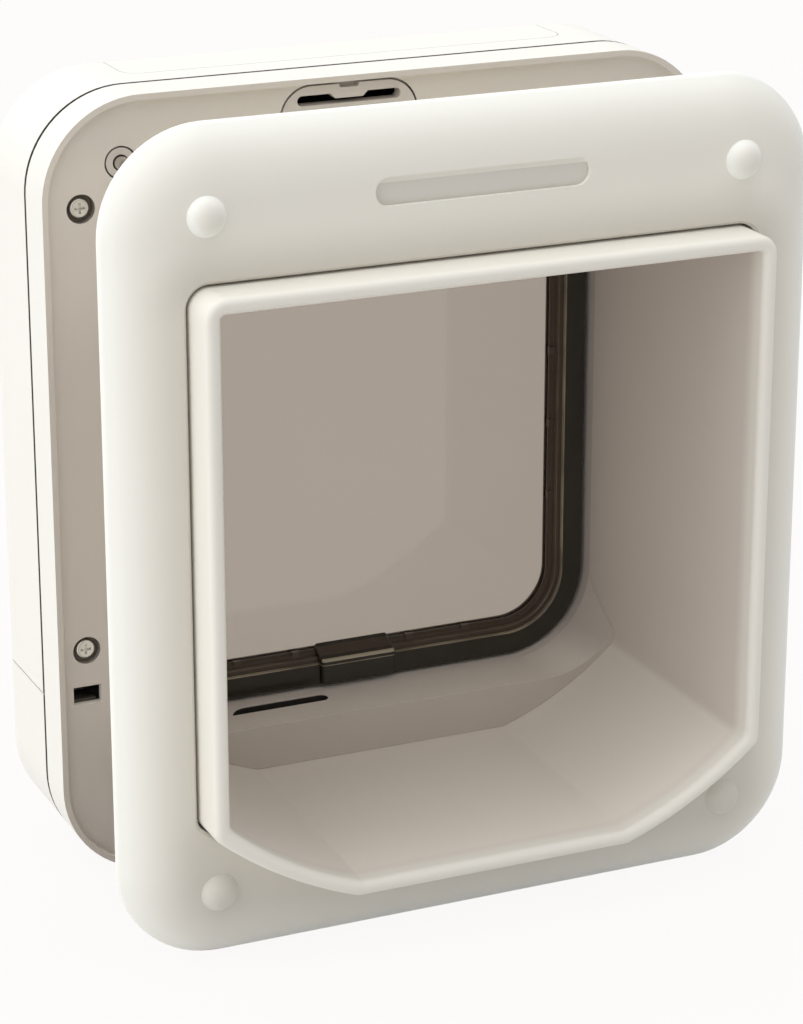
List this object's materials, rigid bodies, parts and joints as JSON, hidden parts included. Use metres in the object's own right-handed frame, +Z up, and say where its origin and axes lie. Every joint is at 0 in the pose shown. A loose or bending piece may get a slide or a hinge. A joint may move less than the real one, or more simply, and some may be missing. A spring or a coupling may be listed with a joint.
{
  "type": "cat flap",
  "caption": "Self-lining electronic cat flap for a door: outer frame, bevelled tunnel, inner unit with a see-through swing flap, lock levers and battery cover.",
  "frame": {"origin": "middle of the four fixing screws, on the plane of the inner unit's lip that meets the inside of the door", "axes": "+X to the right seen from outside, +Y into the house, +Z up"},
  "size_m": [0.2, 0.1282, 0.225],
  "materials": {
    "white_plastic": "warm white satin moulding",
    "smoked_rim": "dark smoked gloss moulding",
    "smoked_pane": "see-through smoked sheet",
    "grey_plastic": "warm grey satin moulding",
    "black_plastic": "matt black moulding",
    "steel": "ground steel",
    "zinc_steel": "bright zinc plate",
    "sprung_steel": "nickel plate",
    "magnet": "dull sintered block",
    "motor_can": "dull zinc can",
    "cell_can": "plain dark wrapped can",
    "board": "green lacquered board",
    "copper_wire": "lacquered copper winding",
    "lens": "clear red light pipe"
  },
  "bodies": {
    "housing": {"exterior_frame": "white_plastic", "tunnel_liner": "white_plastic", "rear_housing": "white_plastic", "catch_tab": "white_plastic", "inner_cover": "white_plastic", "lower_cover": "white_plastic", "flap_surround": "white_plastic", "screw_plugs": "white_plastic", "fixing_sleeves": "white_plastic", "battery_tray": "grey_plastic", "battery_cells": "cell_can", "battery_contacts": "sprung_steel", "sill_magnet": "magnet", "exit_lock_motor": "motor_can", "entry_lock_motor": "motor_can", "selector_switch": "black_plastic", "circuit_board": "board", "board_chips": "black_plastic", "button_switch": "black_plastic", "status_led": "lens", "status_lens": "lens", "aerial_coil": "copper_wire", "fixing_screws": "zinc_steel", "housing_screws": "zinc_steel"},
    "flap": {"flap_frame": "smoked_rim", "flap_pane": "smoked_pane", "flap_latch": "smoked_rim", "flap_magnet": "magnet", "flap_spindle": "steel"},
    "battery_lid": {"battery_cover": "white_plastic"},
    "exit_lock_lever": {"exit_lock": "grey_plastic", "exit_lock_shaft": "steel"},
    "entry_lock_lever": {"entry_lock": "grey_plastic", "entry_lock_shaft": "steel"},
    "selector": {"lock_selector": "grey_plastic"},
    "button": {"learn_button": "grey_plastic"}
  },
  "joints": [
    {"name": "flap_hinge", "type": "hinge", "parent": "housing", "child": "flap", "pos_m": [0, 0.0285, 0.061], "axis": [1, 0, 0], "range_deg": [-80, 80]},
    {"name": "exit_lock_pivot", "type": "hinge", "parent": "housing", "child": "exit_lock_lever", "pos_m": [-0.036, 0.0162, -0.0891], "axis": [0, -1, 0], "range_deg": [0, 25]},
    {"name": "entry_lock_pivot", "type": "hinge", "parent": "housing", "child": "entry_lock_lever", "pos_m": [0.036, 0.0378, -0.0891], "axis": [0, 1, 0], "range_deg": [0, 25]},
    {"name": "selector_turn", "type": "hinge", "parent": "housing", "child": "selector", "pos_m": [0, 0.048, -0.094], "axis": [0, 1, 0], "range_deg": [0, 270]},
    {"name": "button_press", "type": "slide", "parent": "housing", "child": "button", "axis": [0, -1, 0], "range_m": [0, 0.0007], "stiffness_N_per_m": 400},
    {"name": "battery_lid_slide", "type": "slide", "parent": "housing", "child": "battery_lid", "axis": [0, 1, 0], "range_m": [0, 0.025]}
  ]
}
